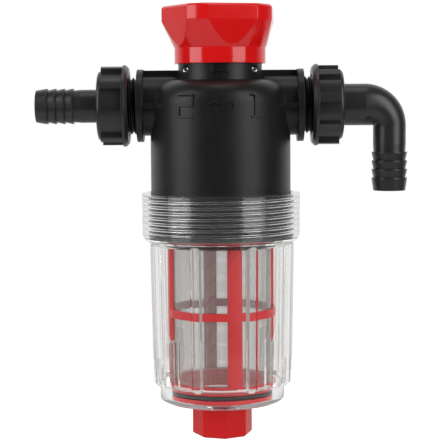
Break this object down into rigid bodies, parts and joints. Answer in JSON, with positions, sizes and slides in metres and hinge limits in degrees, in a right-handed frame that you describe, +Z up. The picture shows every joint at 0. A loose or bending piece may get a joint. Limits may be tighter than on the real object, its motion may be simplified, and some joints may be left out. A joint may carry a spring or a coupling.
{
  "type": "inline strainer",
  "caption": "Inline strainer: black head, red shut-off knob, clear screw-on bowl round a mesh element, red drain cap, union nuts, a straight hose tail and an elbow hose tail.",
  "frame": {"origin": "centre of the drain cap's lower face, on the upright axis of the head and bowl", "axes": "+Z up along the bowl's axis, +X along the ports towards the inlet elbow, so -Y is the front with the flow arrow"},
  "size_m": [0.2178, 0.0932, 0.2528],
  "materials": {
    "black_plastic": "satin moulded",
    "red_plastic": "glossy moulded",
    "rotor_plastic": "plain moulded",
    "cage_plastic": "moulded",
    "clear_plastic": "clear moulded",
    "steel": "bright stainless",
    "mesh_steel": "fine woven wire",
    "rubber": "matt"
  },
  "bodies": {
    "body": {"head_body": "black_plastic", "retaining_clip": "steel"},
    "valve": {"valve_knob": "red_plastic", "valve_rotor": "rotor_plastic", "knob_screw": "steel", "rotor_oring_upper": "rubber", "rotor_oring_lower": "rubber"},
    "element": {"filter_cage": "cage_plastic", "filter_mesh": "mesh_steel", "element_top_gasket": "rubber", "element_bottom_oring": "rubber", "bowl_gasket": "rubber"},
    "bowl": {"bowl": "clear_plastic"},
    "drain_seal": {"drain_gasket": "rubber"},
    "drain_cap": {"drain_cap": "red_plastic"},
    "outlet_seal": {"outlet_gasket": "rubber"},
    "outlet_nut": {"outlet_nut": "black_plastic"},
    "outlet_tail": {"outlet_tail": "black_plastic"},
    "inlet_seal": {"inlet_gasket": "rubber"},
    "inlet_nut": {"inlet_nut": "black_plastic"},
    "inlet_elbow": {"inlet_elbow": "black_plastic"}
  },
  "joints": [
    {"name": "knob_turn", "type": "hinge", "parent": "body", "child": "valve", "pos_m": [0, 0, 0.1954], "axis": [0, 0, -1], "range_deg": [0, 90]},
    {"name": "bowl_drop", "type": "slide", "parent": "body", "child": "element", "axis": [0, 0, -1], "range_m": [0, 0.02242]},
    {"name": "bowl_turn", "type": "hinge", "parent": "element", "child": "bowl", "pos_m": [0, 0, 0.1954], "axis": [0, 0, -1], "range_deg": [0, 2520]},
    {"name": "drain_cap_drop", "type": "slide", "parent": "bowl", "child": "drain_seal", "axis": [0, 0, -1], "range_m": [0, 0.01362]},
    {"name": "drain_cap_turn", "type": "hinge", "parent": "drain_seal", "child": "drain_cap", "pos_m": [0, 0, 0.1954], "axis": [0, 0, -1], "range_deg": [0, 2700]},
    {"name": "outlet_union_slide", "type": "slide", "parent": "body", "child": "outlet_seal", "axis": [-1, 0, 0], "range_m": [0, 0.0081]},
    {"name": "outlet_nut_turn", "type": "hinge", "parent": "outlet_seal", "child": "outlet_nut", "pos_m": [0, 0, 0.1954], "axis": [-1, 0, 0], "range_deg": [0, 1260]},
    {"name": "outlet_tail_swivel", "type": "hinge", "parent": "outlet_seal", "child": "outlet_tail", "pos_m": [0, 0, 0.1954], "axis": [-1, 0, 0], "continuous": true},
    {"name": "inlet_union_slide", "type": "slide", "parent": "body", "child": "inlet_seal", "axis": [1, 0, 0], "range_m": [0, 0.0081]},
    {"name": "inlet_nut_turn", "type": "hinge", "parent": "inlet_seal", "child": "inlet_nut", "pos_m": [0, 0, 0.1954], "axis": [1, 0, 0], "range_deg": [0, 1260]},
    {"name": "inlet_elbow_swivel", "type": "hinge", "parent": "inlet_seal", "child": "inlet_elbow", "pos_m": [0, 0, 0.1954], "axis": [1, 0, 0], "continuous": true}
  ],
  "couplings": [
    {"joint": "bowl_drop", "follows": "bowl_turn", "m_per_rad": 0.0005093},
    {"joint": "drain_cap_drop", "follows": "drain_cap_turn", "m_per_rad": 0.00028871},
    {"joint": "outlet_union_slide", "follows": "outlet_nut_turn", "m_per_rad": 0.00036749},
    {"joint": "inlet_union_slide", "follows": "inlet_nut_turn", "m_per_rad": 0.00036749}
  ]
}
